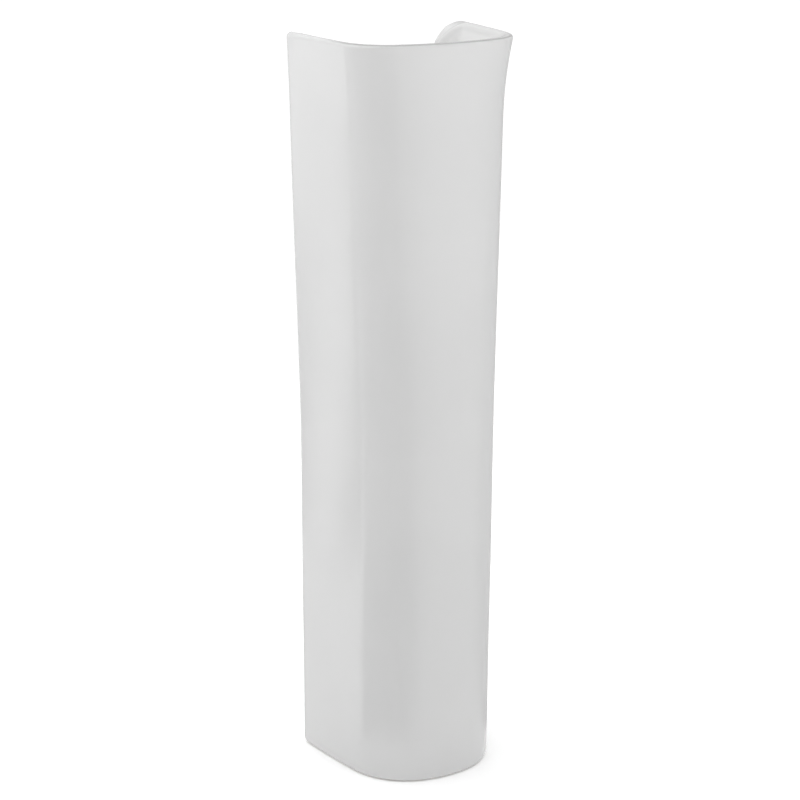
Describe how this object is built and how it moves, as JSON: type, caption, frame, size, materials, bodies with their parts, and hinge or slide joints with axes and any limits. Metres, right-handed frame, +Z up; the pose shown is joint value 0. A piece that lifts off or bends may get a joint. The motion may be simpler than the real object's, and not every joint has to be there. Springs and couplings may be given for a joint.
{
  "type": "washbasin pedestal",
  "caption": "Tall hollow column in white glazed vitreous china, bow-fronted and open at the back, that stands on the floor under a washbasin and hides its pipes.",
  "frame": {"origin": "bottom centre of the bounding box, on the floor", "axes": "+Z up, -Y to the bowed front, +Y to the open back, X across"},
  "size_m": [0.1832, 0.1498, 0.69],
  "materials": {
    "glaze": "glossy white sanitary glaze over vitreous china"
  },
  "bodies": {
    "root": {"pedestal_body": "glaze"}
  },
  "joints": []
}
